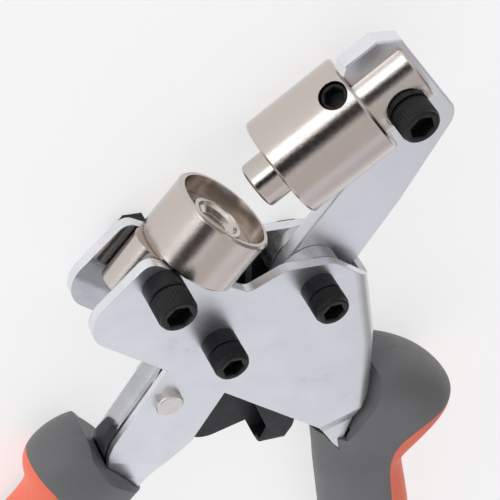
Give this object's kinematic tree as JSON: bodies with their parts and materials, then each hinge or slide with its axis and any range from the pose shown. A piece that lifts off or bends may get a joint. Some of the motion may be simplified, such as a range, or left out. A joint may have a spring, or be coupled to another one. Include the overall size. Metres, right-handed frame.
{
  "type": "snap setter pliers",
  "caption": "Hand pliers for setting snap fasteners: a folded frame and lever drive a punch arm through a black link onto a cupped die.",
  "frame": {"origin": "centre of the bounding box in plan, on the plane the tool lies on", "axes": "+Z is the plate normal on the screw-head side, +Y points from the handles to the jaws, +X to the side of the fixed handle"},
  "size_m": [0.1754, 0.2304, 0.0302],
  "materials": {
    "frame_zinc": "bright zinc plate, brushed",
    "lever_zinc": "bright zinc plate, brushed",
    "arm_zinc": "bright zinc plate, brushed",
    "jaw_nickel": "satin nickel, turned",
    "insert_nickel": "satin nickel, turned",
    "pin_nickel": "polished nickel",
    "rivet_nickel": "nickel",
    "screw_black": "black oxide",
    "collar_black": "black oxide",
    "nut_black": "black oxide",
    "link_black": "black oxide, satin",
    "spring_steel": "drawn wire",
    "bush_steel": "ground",
    "grip_grey": "matte soft grip",
    "grip_orange": "matte soft grip"
  },
  "bodies": {
    "frame": {"frame_channel": "frame_zinc", "fixed_grip_core": "grip_grey", "fixed_grip_inlay": "grip_orange", "main_pivot_screw": "screw_black", "arm_pivot_screw": "screw_black", "die_clamp_screw": "screw_black", "pivot_collars": "collar_black", "die_clamp_collar": "collar_black", "rear_nuts": "nut_black", "main_pivot_bush": "bush_steel", "arm_pivot_bush": "bush_steel", "arm_spacers": "bush_steel", "die_holder": "jaw_nickel", "die_insert": "insert_nickel", "return_spring": "spring_steel"},
    "lever": {"lever_front_plate": "lever_zinc", "lever_channel": "lever_zinc", "lever_rivet": "rivet_nickel", "rivet_spacer": "bush_steel", "moving_grip_core": "grip_grey", "moving_grip_inlay": "grip_orange"},
    "arm": {"punch_arm": "arm_zinc", "punch_holder": "jaw_nickel", "punch_pin": "pin_nickel", "punch_set_screw": "screw_black", "punch_clamp_screw": "screw_black", "punch_clamp_washer": "screw_black", "link_pin": "bush_steel"},
    "link": {"drive_link": "link_black"}
  },
  "joints": [
    {"name": "lever_pivot", "type": "hinge", "parent": "frame", "child": "lever", "pos_m": [-0.01219, 0.03665, 0.0122], "axis": [0, 0, 1], "range_deg": [0, 29], "stiffness_Nm_per_rad": 0.8, "springref_deg": -17.19},
    {"name": "arm_pivot", "type": "hinge", "parent": "frame", "child": "arm", "pos_m": [0.01061, 0.04955, 0.0122], "axis": [0, 0, 1], "range_deg": [0, 17.4]},
    {"name": "link_pivot", "type": "hinge", "parent": "lever", "child": "link", "pos_m": [-0.01939, 0.01505, 0.0122], "axis": [0, 0, 1], "range_deg": [-21.87, 0]}
  ],
  "couplings": [
    {"joint": "arm_pivot", "follows": "lever_pivot", "ratio": 0.6},
    {"joint": "link_pivot", "follows": "lever_pivot", "ratio": -0.754}
  ]
}
